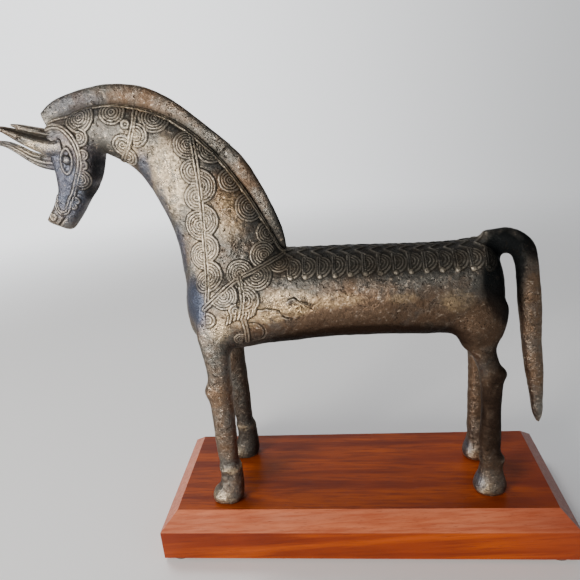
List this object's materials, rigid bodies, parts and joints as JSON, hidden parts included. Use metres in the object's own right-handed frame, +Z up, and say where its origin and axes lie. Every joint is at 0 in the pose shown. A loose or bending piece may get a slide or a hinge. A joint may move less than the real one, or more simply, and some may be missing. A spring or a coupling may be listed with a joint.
{
  "type": "bronze horse statue",
  "caption": "Cast bronze horse with an arched crested neck, forward ears and a hanging tail, standing on a bevelled hardwood plinth with felt pads.",
  "frame": {"origin": "middle of the bounding box's footprint, on the surface that the felt pads stand on", "axes": "+Z up, the horse faces -X and its left side faces -Y; X runs along the plinth's length"},
  "size_m": [0.298, 0.089, 0.2588],
  "materials": {
    "body_bronze": "cast bronze, warm brown patina rubbed bright on the flanks, near black along the back",
    "neck_bronze": "cast bronze, olive brown patina with the raised wire ornament rubbed bright",
    "head_bronze": "cast bronze, charcoal patina with grey-green hollows",
    "crest_bronze": "cast bronze, brown patina, smooth",
    "leg_bronze": "cast bronze, dark brown patina, hooves rubbed bright",
    "tail_bronze": "cast bronze, dark brown patina",
    "mahogany": "reddish mahogany with a satin clear coat, grain along the length",
    "steel": "zinc plated",
    "felt": "dark brown wool felt"
  },
  "bodies": {
    "root": {"torso": "body_bronze", "neck": "neck_bronze", "head": "head_bronze", "crest_front": "crest_bronze", "crest_rear": "crest_bronze", "left_ear": "head_bronze", "right_ear": "head_bronze", "forelock": "head_bronze", "tail": "tail_bronze", "front_left_leg": "leg_bronze", "front_right_leg": "leg_bronze", "rear_left_leg": "leg_bronze", "rear_right_leg": "leg_bronze", "plinth": "mahogany", "front_left_screw": "steel", "front_right_screw": "steel", "rear_left_screw": "steel", "rear_right_screw": "steel", "front_left_washer": "steel", "front_right_washer": "steel", "rear_left_washer": "steel", "rear_right_washer": "steel", "front_left_pad": "felt", "front_right_pad": "felt", "rear_left_pad": "felt", "rear_right_pad": "felt"}
  },
  "joints": []
}
